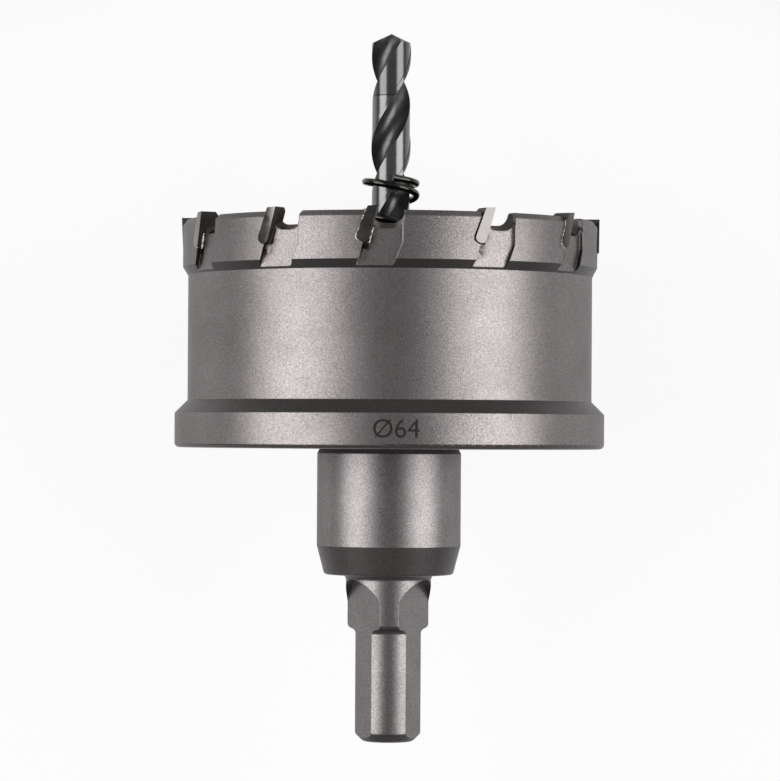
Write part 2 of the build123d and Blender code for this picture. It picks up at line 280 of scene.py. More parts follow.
def smearFluxAndShade(tree, axes, place, radius, colour):
    distance = fromCuttingFace(tree, axes)
    near = addNode(tree, "ShaderNodeMapRange", {"interpolation_type": "SMOOTHSTEP"}, {
        "Value": distance, "From Min": fluxAndShade["ahead"] * mm, "From Max": 0.0})
    low = addNode(tree, "ShaderNodeMapRange", {"interpolation_type": "SMOOTHSTEP"}, {
        "Value": axes.outputs["Y"], "From Min": fluxAndShade["bottom"][0] * mm,
        "From Max": fluxAndShade["bottom"][1] * mm})
    high = addNode(tree, "ShaderNodeMapRange", {"interpolation_type": "SMOOTHSTEP"}, {
        "Value": axes.outputs["Y"], "From Min": fluxAndShade["top"][0] * mm,
        "From Max": fluxAndShade["top"][1] * mm})
    patches = addNode(tree, "ShaderNodeTexNoise", (), {
        "Vector": place, "Scale": 1 / (fluxAndShade["patch"] * mm), "Detail": 3.0})
    blotch = addNode(tree, "ShaderNodeMapRange", (), {
        "Value": patches.outputs["Fac"], "From Min": fluxAndShade["patchSpan"][0],
        "From Max": fluxAndShade["patchSpan"][1]})
    inGroove = addNode(tree, "ShaderNodeMapRange", (), {
        "Value": radius, "From Min": fluxAndShade["wall"][0] * mm, "From Max": fluxAndShade["wall"][1] * mm})
    notBehind = addNode(tree, "ShaderNodeMath", {"operation": "GREATER_THAN"}, {
        0: distance, 1: -fluxAndShade["behind"] * mm})
    smear = notBehind.outputs["Value"]
    for other in (near, low, high, blotch, inGroove):
        smear = addNode(tree, "ShaderNodeMath", {"operation": "MULTIPLY"}, {
            0: smear, 1: other.outputs["Result"]}).outputs["Value"]
    # darker towards the cutting face: burnt flux, and painted shade beside the groove's wall
    burntAndShade = addNode(tree, "ShaderNodeMix", {"data_type": "RGBA"}, {
        0: near.outputs["Result"], 6: linearColour(fluxAndShade["thin"]), 7: linearColour(fluxAndShade["thick"])})
    stained = addNode(tree, "ShaderNodeMix", {"data_type": "RGBA"}, {
        0: smear, 6: colour, 7: burntAndShade.outputs[2]})
    return stained.outputs[2]


# Painted shade in the gullets, which are cut through the wall: their faces get a dark tone
gullet = {
    "shadeTone": "#544e4b",
    "fromBore": (0.04, 0.14),  # mm past each face, where the painted shade begins and where it is full
    "fromGroove": (-0.02, -0.12),
    "fromRim": (-0.04, -0.3),
    "fromFloor": (-0.6, -0.3),
}


def paintShadeInGullets(tree, axes, radius, colour):
    height = axes.outputs["Y"]
    inside = 1.0
    for face, (start, full), along in (
            (tooth["innerRadius"], gullet["fromBore"], radius),
            (tooth["grooveFloor"], gullet["fromGroove"], radius),
            (tooth["rimHeight"], gullet["fromRim"], height),
            (tooth["gulletFloor"], gullet["fromFloor"], height)):
        edge = addNode(tree, "ShaderNodeMapRange", {"interpolation_type": "SMOOTHSTEP"}, {
            "Value": along, "From Min": (face + start) * mm, "From Max": (face + full) * mm})
        inside = addNode(tree, "ShaderNodeMath", {"operation": "MULTIPLY"}, {
            0: inside, 1: edge.outputs["Result"]}).outputs["Value"]
    paintedShade = addNode(tree, "ShaderNodeMix", {"data_type": "RGBA"}, {
        0: inside, 6: colour, 7: linearColour(gullet["shadeTone"])})
    return paintedShade.outputs[2]


def makeCupSteel():
    material, tree, shader, place = startMaterial("gritBlastedToolSteel")
    axes, colour = steelSurface(tree, shader, place, blastedSteel)
    radius = fromAxis(tree, axes)
    colour = smearFluxAndShade(tree, axes, place, radius, colour)
    # painted shade in the gullets
    colour = paintShadeInGullets(tree, axes, radius, colour)
    tree.links.new(colour, shader.inputs["Base Color"])
    return material


def makeArborSteel():
    material, tree, shader, place = startMaterial("blastedBarSteel")
    colour = steelSurface(tree, shader, place, barSteel)[1]
    tree.links.new(colour, shader.inputs["Base Color"])
    return material


# Sintered tungsten carbide, ground with a diamond wheel outside and on top once it is
# brazed in: darker and smoother than the steel, so it shows lamps and dark room nearly
# unblurred. The cutting face isn't ground again and keeps a dull brown stain of flux.
carbide = {
    "colour": "#6c6967",
    "roughness": (0.11, 0.20),
    "stain": ("#2b2723", "#57504a"),
    "stainRoughness": 0.5,
    "stainMetal": 0.3,
    "tarnish": 1.5,  # mm, patches of the stain
    "groundFrom": 0.6,  # how squarely a face has to look out or up to have been ground
    "lines": 0.09,  # mm between grinding lines
    "lineDepth": 0.0006,
    "edgeRound": 0.10,
    "relief": 3.6,  # degrees that the wheel is turned back from the round
}


def makeCarbide():
    material, tree, shader, place = startMaterial("groundTungstenCarbide")
    axes = addNode(tree, "ShaderNodeSeparateXYZ", (), {"Vector": place})
    facing = addNode(tree, "ShaderNodeNewGeometry").outputs["True Normal"]
    across = addNode(tree, "ShaderNodeVectorMath", {"operation": "MULTIPLY"}, {
        0: place, 1: (1, 0, 1)})
    outwards = addNode(tree, "ShaderNodeVectorMath", {"operation": "NORMALIZE"}, {
        0: across.outputs["Vector"]})
    outside = addNode(tree, "ShaderNodeVectorMath", {"operation": "DOT_PRODUCT"}, {
        0: facing, 1: outwards.outputs["Vector"]})
    upwards = addNode(tree, "ShaderNodeVectorMath", {"operation": "DOT_PRODUCT"}, {
        0: facing, 1: (0, 1, 0)})
    either = addNode(tree, "ShaderNodeMath", {"operation": "MAXIMUM"}, {
        0: outside.outputs["Value"], 1: upwards.outputs["Value"]})
    ground = addNode(tree, "ShaderNodeMath", {"operation": "GREATER_THAN"}, {
        0: either.outputs["Value"], 1: carbide["groundFrom"]})
    lines = addNode(tree, "ShaderNodeTexNoise", {"noise_dimensions": "1D"}, {
        "W": axes.outputs["Y"], "Scale": 1 / (carbide["lines"] * mm), "Detail": 2.0})
    tarnish = addNode(tree, "ShaderNodeTexNoise", (), {
        "Vector": place, "Scale": 1 / (carbide["tarnish"] * mm), "Detail": 3.0})
    rough = addNode(tree, "ShaderNodeMapRange", (), {
        "Value": tarnish.outputs["Fac"], "From Min": noiseSpan[0], "From Max": noiseSpan[1],
        "To Min": carbide["roughness"][0], "To Max": carbide["roughness"][1]})
    rough = addNode(tree, "ShaderNodeMix", {"data_type": "FLOAT"}, {
        0: ground.outputs["Value"], 2: carbide["stainRoughness"], 3: rough.outputs["Result"]})
    blotch = addNode(tree, "ShaderNodeMix", {"data_type": "RGBA"}, {
        0: tarnish.outputs["Fac"], 6: linearColour(carbide["stain"][0]),
        7: linearColour(carbide["stain"][1])})
    colour = addNode(tree, "ShaderNodeMix", {"data_type": "RGBA"}, {
        0: ground.outputs["Value"], 6: blotch.outputs[2], 7: linearColour(carbide["colour"])})
    metal = addNode(tree, "ShaderNodeMapRange", (), {
        "Value": ground.outputs["Value"], "To Min": carbide["stainMetal"]})
    rounded = addNode(tree, "ShaderNodeBevel", {"samples": bevelSamples}, {
        "Radius": carbide["edgeRound"] * mm})
    # The cup turns under the wheel, so the outside face is a little round across its width
    isOutside = addNode(tree, "ShaderNodeMath", {"operation": "GREATER_THAN"}, {
        0: outside.outputs["Value"], 1: carbide["groundFrom"]})
    turnedBack = addNode(tree, "ShaderNodeVectorRotate", (), {
        "Vector": outwards.outputs["Vector"], "Axis": (0, 1, 0),
        "Angle": radians(-carbide["relief"])})
    groundRound = addNode(tree, "ShaderNodeMix", {"data_type": "VECTOR"}, {
        0: isOutside.outputs["Value"], 4: rounded.outputs["Normal"],
        5: turnedBack.outputs["Vector"]})
    bump = addNode(tree, "ShaderNodeBump", (), {
        "Height": lines.outputs["Fac"], "Distance": carbide["lineDepth"] * mm,
        "Normal": groundRound.outputs[1]})
    tree.links.new(colour.outputs[2], shader.inputs["Base Color"])
    tree.links.new(metal.outputs["Result"], shader.inputs["Metallic"])
    tree.links.new(rough.outputs[0], shader.inputs["Roughness"])
    tree.links.new(bump.outputs["Normal"], shader.inputs["Normal"])
    return material


# High-speed steel, black oxide with lands and margins ground bright afterwards. The eye
# gets near-black flutes with a soft grey streak, and mirror-like bands on the lands.
drillSteel = {
    "metal": 0.8,
    "land": "#6c6b6b",
    "landRoughness": 0.20,
    "landRadius": (2.83, 2.87),  # mm from the axis, from oxide to ground steel
    "oxide": "#555557",
    "oxideRoughness": 0.32,
    "patch": 1.2,  # mm, where the oxide is thicker or thinner
    "patchSpan": (0.3, 0.75),
    "patchTone": (0.85, 1.2),
    "grinding": 0.12,  # mm between grinding lines
    "grindingDepth": 0.0007,
    "edgeRound": 0.05,
    "pointSection": 53.86,  # mm along the axis, above which the point was ground once more
    "pointBlend": 0.05,
    "pointLand": "#605f5f",
    "pointLine": "#3c3b3b",
    "pointLineHalf": 0.09,
}


def makeDrillSteel():
    material, tree, shader, place = startMaterial("blackOxideDrillSteel", {
        "Metallic": drillSteel["metal"]})
    axes = addNode(tree, "ShaderNodeSeparateXYZ", (), {"Vector": place})
    ground = addNode(tree, "ShaderNodeMapRange", (), {
        "Value": fromAxis(tree, axes), "From Min": drillSteel["landRadius"][0] * mm,
        "From Max": drillSteel["landRadius"][1] * mm})
    wheel = addNode(tree, "ShaderNodeTexNoise", {"noise_dimensions": "1D"}, {
        "W": axes.outputs["Y"], "Scale": 1 / (drillSteel["grinding"] * mm), "Detail": 2.0})
    patches = addNode(tree, "ShaderNodeTexNoise", (), {
        "Vector": place, "Scale": 1 / (drillSteel["patch"] * mm), "Detail": 3.0})
    worn = addNode(tree, "ShaderNodeMapRange", (), {
        "Value": patches.outputs["Fac"], "From Min": drillSteel["patchSpan"][0],
        "From Max": drillSteel["patchSpan"][1], "To Min": drillSteel["patchTone"][0],
        "To Max": drillSteel["patchTone"][1]})
    oxide = addNode(tree, "ShaderNodeMix", {"data_type": "RGBA", "blend_type": "MULTIPLY"}, {
        0: 1.0, 6: linearColour(drillSteel["oxide"]), 7: worn.outputs["Result"]})
    section = drillSteel["pointSection"]
    reground = addNode(tree, "ShaderNodeMapRange", (), {
        "Value": axes.outputs["Y"], "From Min": (section - drillSteel["pointBlend"]) * mm,
        "From Max": (section + drillSteel["pointBlend"]) * mm})
    land = addNode(tree, "ShaderNodeMix", {"data_type": "RGBA"}, {
        0: reground.outputs["Result"], 6: linearColour(drillSteel["land"]),
        7: linearColour(drillSteel["pointLand"])})
    stepLine = addNode(tree, "ShaderNodeMath", {"operation": "COMPARE"}, {
        0: axes.outputs["Y"], 1: section * mm, 2: drillSteel["pointLineHalf"] * mm})
    land = addNode(tree, "ShaderNodeMix", {"data_type": "RGBA"}, {
        0: stepLine.outputs["Value"], 6: land.outputs[2],
        7: linearColour(drillSteel["pointLine"])})
    colour = addNode(tree, "ShaderNodeMix", {"data_type": "RGBA"}, {
        0: ground.outputs["Result"], 6: oxide.outputs[2], 7: land.outputs[2]})
    rough = addNode(tree, "ShaderNodeMapRange", (), {
        "Value": ground.outputs["Result"], "To Min": drillSteel["oxideRoughness"],
        "To Max": drillSteel["landRoughness"]})
    rounded = addNode(tree, "ShaderNodeBevel", {"samples": bevelSamples}, {
        "Radius": drillSteel["edgeRound"] * mm})
    bump = addNode(tree, "ShaderNodeBump", (), {
        "Height": wheel.outputs["Fac"], "Distance": drillSteel["grindingDepth"] * mm,
        "Normal": rounded.outputs["Normal"]})
    tree.links.new(colour.outputs[2], shader.inputs["Base Color"])
    tree.links.new(rough.outputs["Result"], shader.inputs["Roughness"])
    tree.links.new(bump.outputs["Normal"], shader.inputs["Normal"])
    return material


# Oil-tempered spring wire, blued: black with small sharp highlights along each coil
springWire = {
    "colour": "#4a4845",
    "roughness": (0.14, 0.24),
    "patch": 0.8,
    "patchDepth": 0.004,
}


def makeSpringWire():
    material, tree, shader, place = startMaterial("oilTemperedSpringWire", {
        "Metallic": 1.0, "Base Color": linearColour(springWire["colour"])})
    patches = addNode(tree, "ShaderNodeTexNoise", (), {
        "Vector": place, "Scale": 1 / (springWire["patch"] * mm), "Detail": 3.0})
    rough = addNode(tree, "ShaderNodeMapRange", (), {
        "Value": patches.outputs["Fac"], "From Min": noiseSpan[0], "From Max": noiseSpan[1],
        "To Min": springWire["roughness"][0], "To Max": springWire["roughness"][1]})
    bump = addNode(tree, "ShaderNodeBump", (), {
        "Height": patches.outputs["Fac"], "Distance": springWire["patchDepth"] * mm})
    tree.links.new(rough.outputs["Result"], shader.inputs["Roughness"])
    tree.links.new(bump.outputs["Normal"], shader.inputs["Normal"])
    return material


# Black oxide on a rolled alloy screw: matt black, a little brown where it is thin
screwSteel = {
    "thick": "#2a2827",
    "thin": "#45403d",
    "roughness": 0.42,
    "patch": 0.5,
    "patchDepth": 0.004,
    "edgeRound": 0.08,
}


def makeScrewSteel():
    material, tree, shader, place = startMaterial("blackOxideScrewSteel", {
        "Metallic": 1.0, "Roughness": screwSteel["roughness"]})
    patches = addNode(tree, "ShaderNodeTexNoise", (), {
        "Vector": place, "Scale": 1 / (screwSteel["patch"] * mm), "Detail": 3.0})
    colour = addNode(tree, "ShaderNodeMix", {"data_type": "RGBA"}, {
        0: patches.outputs["Fac"], 6: linearColour(screwSteel["thick"]),
        7: linearColour(screwSteel["thin"])})
    rounded = addNode(tree, "ShaderNodeBevel", {"samples": bevelSamples}, {
        "Radius": screwSteel["edgeRound"] * mm})
    bump = addNode(tree, "ShaderNodeBump", (), {
        "Height": patches.outputs["Fac"], "Distance": screwSteel["patchDepth"] * mm,
        "Normal": rounded.outputs["Normal"]})
    tree.links.new(colour.outputs[2], shader.inputs["Base Color"])
    tree.links.new(bump.outputs["Normal"], shader.inputs["Normal"])
    return material


tipCarbide = makeCarbide()
wireSteel = makeSpringWire()
dress(nodes["saw_cup"], makeCupSteel())
dress(nodes["arbor"], makeArborSteel())
dress(nodes["pilot_drill"], makeDrillSteel())
dress(nodes["clamping_screw"], makeScrewSteel())
dress(nodes["ejector_spring"], wireSteel)
for nodeName in nodes:
    if nodeName.startswith("carbide_tip"):
        dress(nodes[nodeName], tipCarbide)
print("materials: made for the CAD nodes")


def smoothCurve(name, points):
    # A path through the points, in millimetres, for a tube to follow
    data = bpy.data.curves.new(name, "CURVE")
    data.dimensions = "3D"
    data.resolution_u = curveSteps
    spline = data.splines.new("BEZIER")
    spline.bezier_points.add(len(points) - 1)
    for handle, point in zip(spline.bezier_points, points):
        handle.co = Vector(point) * mm
        handle.handle_left_type = "AUTO"
        handle.handle_right_type = "AUTO"
    path = bpy.data.objects.new(name, data)
    scene.collection.objects.link(path)
    return path


def tubeTree(name, material, repeated):
    # Tube along the incoming curve, with lumps, repeated about the tool's axis if asked
    tree = bpy.data.node_groups.new(name, "GeometryNodeTree")
    interface = tree.interface
    interface.new_socket("Geometry", in_out="INPUT", socket_type="NodeSocketGeometry")
    sockets = {}
    for label, kind in (("Radius", "NodeSocketFloat"), ("Sides", "NodeSocketInt"),
                        ("Lump Size", "NodeSocketFloat"), ("Lump Depth", "NodeSocketFloat"),
                        ("Count", "NodeSocketInt"), ("First Angle", "NodeSocketFloat"),
                        ("Step Angle", "NodeSocketFloat"), ("First Lag", "NodeSocketFloat")):
        sockets[label] = interface.new_socket(label, in_out="INPUT", socket_type=kind)
    interface.new_socket("Geometry", in_out="OUTPUT", socket_type="NodeSocketGeometry")
    given = addNode(tree, "NodeGroupInput").outputs
    ring = addNode(tree, "GeometryNodeCurvePrimitiveCircle", {"mode": "RADIUS"}, {
        "Resolution": given["Sides"], "Radius": given["Radius"]})
    tube = addNode(tree, "GeometryNodeCurveToMesh", (), {
        "Curve": given["Geometry"], "Profile Curve": ring.outputs["Curve"], "Fill Caps": True})
    shape = tube.outputs["Mesh"]
    if repeated:
        points = addNode(tree, "GeometryNodePoints", (), {"Count": given["Count"]})
        index = addNode(tree, "GeometryNodeInputIndex")
        turn = addNode(tree, "ShaderNodeMath", {"operation": "MULTIPLY_ADD"}, {
            0: index.outputs["Index"], 1: given["Step Angle"], 2: given["First Angle"]})
        isFirst = addNode(tree, "ShaderNodeMath", {"operation": "LESS_THAN"}, {
            0: index.outputs["Index"], 1: 0.5})
        lag = addNode(tree, "ShaderNodeMath", {"operation": "MULTIPLY"}, {
            0: isFirst.outputs["Value"], 1: given["First Lag"]})
        turn = addNode(tree, "ShaderNodeMath", {"operation": "SUBTRACT"}, {
            0: turn.outputs["Value"], 1: lag.outputs["Value"]})
        rotation = addNode(tree, "FunctionNodeAxisAngleToRotation", (), {
            "Axis": (0, 1, 0), "Angle": turn.outputs["Value"]})
        spread = addNode(tree, "GeometryNodeInstanceOnPoints", (), {
            "Points": points.outputs["Points"], "Instance": shape,
            "Rotation": rotation.outputs["Rotation"]})
        shape = spread.outputs["Instances"]
    joined = addNode(tree, "GeometryNodeRealizeInstances", (), {"Geometry": shape})
    spot = addNode(tree, "GeometryNodeInputPosition")
    noise = addNode(tree, "ShaderNodeTexNoise", (), {
        "Vector": spot.outputs["Position"], "Scale": given["Lump Size"], "Detail": 1.0})
    centred = addNode(tree, "ShaderNodeMath", {"operation": "SUBTRACT"}, {
        0: noise.outputs["Fac"], 1: 0.5})
    amount = addNode(tree, "ShaderNodeMath", {"operation": "MULTIPLY"}, {
        0: centred.outputs["Value"], 1: given["Lump Depth"]})
    normal = addNode(tree, "GeometryNodeInputNormal")
    offset = addNode(tree, "ShaderNodeVectorMath", {"operation": "SCALE"}, {
        0: normal.outputs["Normal"], "Scale": amount.outputs["Value"]})
    moved = addNode(tree, "GeometryNodeSetPosition", (), {
        "Geometry": joined.outputs["Geometry"], "Offset": offset.outputs["Vector"]})
    shaded = addNode(tree, "GeometryNodeSetShadeSmooth", (), {
        "Geometry": moved.outputs["Geometry"]})
    finished = addNode(tree, "GeometryNodeSetMaterial", (), {
        "Geometry": shaded.outputs["Geometry"], "Material": material})
    addNode(tree, "NodeGroupOutput", (), {"Geometry": finished.outputs["Geometry"]})
    return tree, sockets


def tubePiece(name, points, material, values, repeated=False):
    path = smoothCurve(name + "Path", points)
    tree, sockets = tubeTree(name + "Nodes", material, repeated)
    modifier = path.modifiers.new("tube", "NODES")
    modifier.node_group = tree
    for label, value in values.items():
        modifier[sockets[label].identifier] = value
    graph = bpy.context.evaluated_depsgraph_get()
    mesh = bpy.data.meshes.new_from_object(path.evaluated_get(graph))
    mesh.name = name
    path.modifiers.remove(modifier)
    bpy.data.objects.remove(path)
    shell = bmesh.new()
    shell.from_mesh(mesh)
    bmesh.ops.remove_doubles(shell, verts=shell.verts, dist=0.001 * mm)
    bmesh.ops.recalc_face_normals(shell, faces=shell.faces)
    shell.to_mesh(mesh)
    shell.free()
    mesh.materials.clear()
    mesh.materials.append(material)
    piece = bpy.data.objects.new(name, mesh)
    scene.collection.objects.link(piece)
    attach(piece, "root")
    print("piece:", name, len(mesh.polygons), "faces")
    return piece


# Ejector spring: closed coil at each end, open between, wound left-handed
spring = {
    "wireDiameter": 1.05,
    "outerDiameter": 8.9,
    "length": 34.7,
    "bottom": 7.0,
    "turns": 7.9,
    "closedTurns": 0.9,
    "openingTurns": 0.3,
    "closedPitch": 1.08,
    "topLean": 0.4,
    "endAngle": 4.5,
    "pointsInATurn": 8,
    "sides": 16,
}


def springPoints():
    # From the free end down to the cup's floor, along the middle of the wire
    inATurn = spring["pointsInATurn"]
    wire = spring["wireDiameter"]
    pitch = spring["closedPitch"]
    steps = round(spring["turns"] * inATurn)
    opening = []
    for step in range(steps + 1):
        fromEnd = min(step, steps - step) / inATurn - spring["closedTurns"]
        opening.append(min(max(fromEnd, 0) / spring["openingTurns"], 1))
    freeRise = spring["length"] - wire - pitch * steps / inATurn
    addedPitch = freeRise / (sum(opening[1:]) / inATurn)
    height = spring["bottom"] + spring["length"] - wire / 2
    coilRadius = (spring["outerDiameter"] - wire) / 2
    points = []
    for step in range(steps + 1):
        if step:
            height -= (pitch + addedPitch * opening[step]) / inATurn
        turned = radians(360 * step / inATurn)
        turn = turned + radians(spring["endAngle"])
        lean = 0
        if step <= steps / 2:
            lean = spring["topLean"] * (1 - opening[step]) * sin(turned)
        points.append((coilRadius * sin(turn), height - lean, coilRadius * cos(turn)))
    return points


springCoil = tubePiece("springCoil", springPoints(), wireSteel, {
    "Radius": spring["wireDiameter"] / 2 * mm, "Sides": spring["sides"]})
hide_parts("ejector_spring")

# Braze round each tip, in the tooth's own frame: a dark seam along its back and foot,
# and a bright bead in the corner between its cutting face and the groove
braze = {
    "seamColours": ("#2b2724", "#c4bfb8"),  # burnt flux and bare silver
    "seamRoughness": 0.42,
    "seamRadius": 0.17,
    "seamSides": 8,
    "seamLumps": 0.10,
    "seamSunk": 0.02,
    "seamBelowTop": 0.08,
    "seamShares": (0.14, 0.35, 0.55, 0.75),  # of the way down the tip's back
    "beadColours": ("#3a352f", "#aaa69f"),
    "beadRoughness": 0.36,
    "beadRadius": 0.34,
    "beadSides": 10,
    "beadLumps": 0.3,
    "beadHeights": (29.7, 30.3, 30.9, 31.5, 32.0),  # along the axis
    "beadAhead": 0.12,  # of the cutting face
    "beadProud": 0.05,  # of the groove's floor
    "lumpSize": 0.9,  # mm between lumps
    "patch": 0.45,  # mm, patches of flux
    "patchSpan": (0.38, 0.6),
    "patchDepth": 0.03,
}


# Silver brazing alloy as it froze: bright rounded lumps with dark burnt flux between them.
# Painted highlight and shade: every second tooth round the tool gets the bright lumps, and the
# others stay black.
def makeBraze(name, colours, roughness):
    burntAndShade, bare = (linearColour(colour) for colour in colours)
    material, tree, shader, place = startMaterial(name, {"Metallic": 1.0, "Roughness": roughness})
    patches = addNode(tree, "ShaderNodeTexNoise", (), {
        "Vector": place, "Scale": 1 / (braze["patch"] * mm), "Detail": 3.0})
    share = addNode(tree, "ShaderNodeMapRange", (), {
        "Value": patches.outputs["Fac"], "From Min": braze["patchSpan"][0],
        "From Max": braze["patchSpan"][1]})
    colour = addNode(tree, "ShaderNodeMix", {"data_type": "RGBA"}, {
        0: share.outputs["Result"], 6: burntAndShade, 7: bare})
    axes = addNode(tree, "ShaderNodeSeparateXYZ", (), {"Vector": place})
    # painted highlight and shade: bright braze only on every second tooth round the tool
    turn = addNode(tree, "ShaderNodeMath", {"operation": "ARCTAN2"}, {
        0: axes.outputs["X"], 1: axes.outputs["Z"]})
    phase = addNode(tree, "ShaderNodeMath", {"operation": "MULTIPLY"}, {
        0: turn.outputs["Value"], 1: tooth["count"] / 2})
    wave = addNode(tree, "ShaderNodeMath", {"operation": "COSINE"}, {
        0: phase.outputs["Value"]})
    paintedLitTooth = addNode(tree, "ShaderNodeMath", {"operation": "GREATER_THAN"}, {
        0: wave.outputs["Value"], 1: 0.0})
    colour = addNode(tree, "ShaderNodeMix", {"data_type": "RGBA"}, {
        0: paintedLitTooth.outputs["Value"], 6: burntAndShade, 7: colour.outputs[2]})
    bump = addNode(tree, "ShaderNodeBump", (), {
        "Height": patches.outputs["Fac"], "Distance": braze["patchDepth"] * mm})
    tree.links.new(colour.outputs[2], shader.inputs["Base Color"])
    tree.links.new(bump.outputs["Normal"], shader.inputs["Normal"])
    return material


def seamPoints():
    # Down the back of the tip, round its foot and up to its cutting face
    tilt = radians(tooth["tilt"])
    down = Vector((-sin(tilt), -cos(tilt)))
    behind = Vector((-cos(tilt), sin(tilt)))
    frontFoot = Vector((0, tooth["tipTop"])) + down * tooth["tipLength"]
    backFoot = frontFoot + behind * tooth["footThickness"]
    backTop = Vector((-tooth["tipThickness"] / cos(tilt),
                      tooth["tipTop"] - braze["seamBelowTop"]))
    up = (backTop - backFoot).normalized() * tooth["footRadius"]
    across = (frontFoot - backFoot).normalized() * tooth["footRadius"]
    cornerShare = 0.293  # of its radius, where a rounded corner passes nearest to the sharp one
    flat = [backTop.lerp(backFoot, share) for share in braze["seamShares"]]
    flat += [backFoot + up, backFoot + (up + across) * cornerShare, backFoot + across]
    flat += [frontFoot - across, frontFoot + (up - across) * cornerShare]
    radius = tooth["bandRadius"] - braze["seamSunk"]
    return [(point.x, point.y, sqrt(radius ** 2 - point.x ** 2)) for point in flat]


def beadPoints():
    lean = tan(radians(tooth["tilt"]))
    depth = tooth["grooveFloor"] + braze["beadProud"]
    return [(-(tooth["tipTop"] - height) * lean + braze["beadAhead"], height, depth)
            for height in braze["beadHeights"]]


around = {
    "Count": tooth["count"],
    "First Angle": radians(tooth["firstAngle"]),
    "Step Angle": radians(360 / tooth["count"]),
    "First Lag": radians(tooth["firstLag"]),
    "Lump Size": 1 / (braze["lumpSize"] * mm),
}
darkBraze = makeBraze("burntFluxOnBraze", braze["seamColours"], braze["seamRoughness"])
silverBraze = makeBraze("frozenSilverBraze", braze["beadColours"], braze["beadRoughness"])
brazeSeams = tubePiece("brazeSeams", seamPoints(), darkBraze, {
    **around, "Radius": braze["seamRadius"] * mm, "Sides": braze["seamSides"],
    "Lump Depth": braze["seamLumps"] * mm}, True)
brazeBeads = tubePiece("brazeBeads", beadPoints(), silverBraze, {
    **around, "Radius": braze["beadRadius"] * mm, "Sides": braze["beadSides"],
    "Lump Depth": braze["beadLumps"] * mm}, True)

# Plain size number wrapped round the flange, burnt in by a laser: dull dark oxide, a
# little uneven
sizeMark = {
    "text": "Ø64",
    "height": 2.8,  # of the figures
    "capShare": 0.73,  # of the letter size that the figures' height takes
    "middle": (0.98, 3.0),  # arc length and height on the flange
    "flangeRadius": 32.8,
    "proud": 0.012,
    "sunk": 0.05,
    "bendStep": 0.45,  # mm between the cuts at which it bends round the flange
    "bendSteps": 10,  # to each side of its middle
    "colours": ("#1d1b1a", "#3a3634"),
    "patch": 0.2,
    "roughness": 0.6,
    "metal": 0.6,
}


def makeLaserMark():
    material, tree, shader, place = startMaterial("laserBurntOxide", {
        "Roughness": sizeMark["roughness"], "Metallic": sizeMark["metal"]})
    patches = addNode(tree, "ShaderNodeTexNoise", (), {
        "Vector": place, "Scale": 1 / (sizeMark["patch"] * mm), "Detail": 2.0})
    colour = addNode(tree, "ShaderNodeMix", {"data_type": "RGBA"}, {
        0: patches.outputs["Fac"], 6: linearColour(sizeMark["colours"][0]),
        7: linearColour(sizeMark["colours"][1])})
    tree.links.new(colour.outputs[2], shader.inputs["Base Color"])
    return material


def makeSizeMark():
    letters = bpy.data.curves.new("sizeMark", "FONT")
    letters.body = sizeMark["text"]
    letters.align_x = "CENTER"
    letters.size = sizeMark["height"] / sizeMark["capShare"]
    letters.extrude = 0.5  # any depth, as the flange's radius sets both faces below
    letters.resolution_u = curveSteps
    holder = bpy.data.objects.new("sizeMarkText", letters)
    scene.collection.objects.link(holder)
    graph = bpy.context.evaluated_depsgraph_get()
    mesh = bpy.data.meshes.new_from_object(holder.evaluated_get(graph))
    bpy.data.objects.remove(holder)
    shape = bmesh.new()
    shape.from_mesh(mesh)
    bmesh.ops.remove_doubles(shape, verts=shape.verts, dist=0.0001)
    heights = [vertex.co.y for vertex in shape.verts]
    centre = (min(heights) + max(heights)) / 2
    for cut in range(-sizeMark["bendSteps"], sizeMark["bendSteps"] + 1):
        everything = shape.verts[:] + shape.edges[:] + shape.faces[:]
        bmesh.ops.bisect_plane(shape, geom=everything, plane_no=(1, 0, 0),
                               plane_co=(cut * sizeMark["bendStep"], 0, 0))
    bmesh.ops.triangulate(shape, faces=shape.faces[:])
    for vertex in shape.verts:
        x, y, depth = vertex.co
        radius = sizeMark["flangeRadius"]
        turn = (x + sizeMark["middle"][0]) / radius
        radius += sizeMark["proud"] if depth > 0 else -sizeMark["sunk"]
        height = y - centre + sizeMark["middle"][1]
        vertex.co = Vector((radius * sin(turn), height, radius * cos(turn))) * mm
    bmesh.ops.recalc_face_normals(shape, faces=shape.faces[:])
    shape.to_mesh(mesh)
    shape.free()
    mesh.materials.clear()
    mesh.materials.append(makeLaserMark())
    piece = bpy.data.objects.new("sizeMark", mesh)
    scene.collection.objects.link(piece)
    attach(piece, "root")
    print("piece: sizeMark", len(mesh.polygons), "faces")


makeSizeMark()

# White seamless paper with a painted pool of light that falls off to grey further out, two long
# softboxes beside the tool and weak low ones at the corners
studio = {
    "floorHalf": 1.5,
    "floorColour": "#fdfdfd",
    # the grey is painted shade of the paper far from the middle
    "falloffShade": "#9c9c9c",
    "lightPoolReach": (0.12, 0.30),  # metres from the middle where the painted pool of light falls off to grey
    "alongAxis": 1.8,  # how much sooner it falls off along the tool's axis
    "backgroundShare": 0.9,  # how much of the floor is plain white where it is only seen
    "worldLevel": 0.18,
    "boxDistance": 0.6,
    "boxLevel": 4.0,
    "boxLength": 0.40,
    "leftBox": (-73.0, -30.0),  # degrees from straight up, towards -X and +X
    "rightBox": (35.0, 77.0),
    "fillTurns": (45, 135, 225, 315),  # degrees round from the drill's point
    "fillRise": 20.0,  # degrees above the floor
    "fillSize": 0.34,
    "fillLevel": 1.1,
}


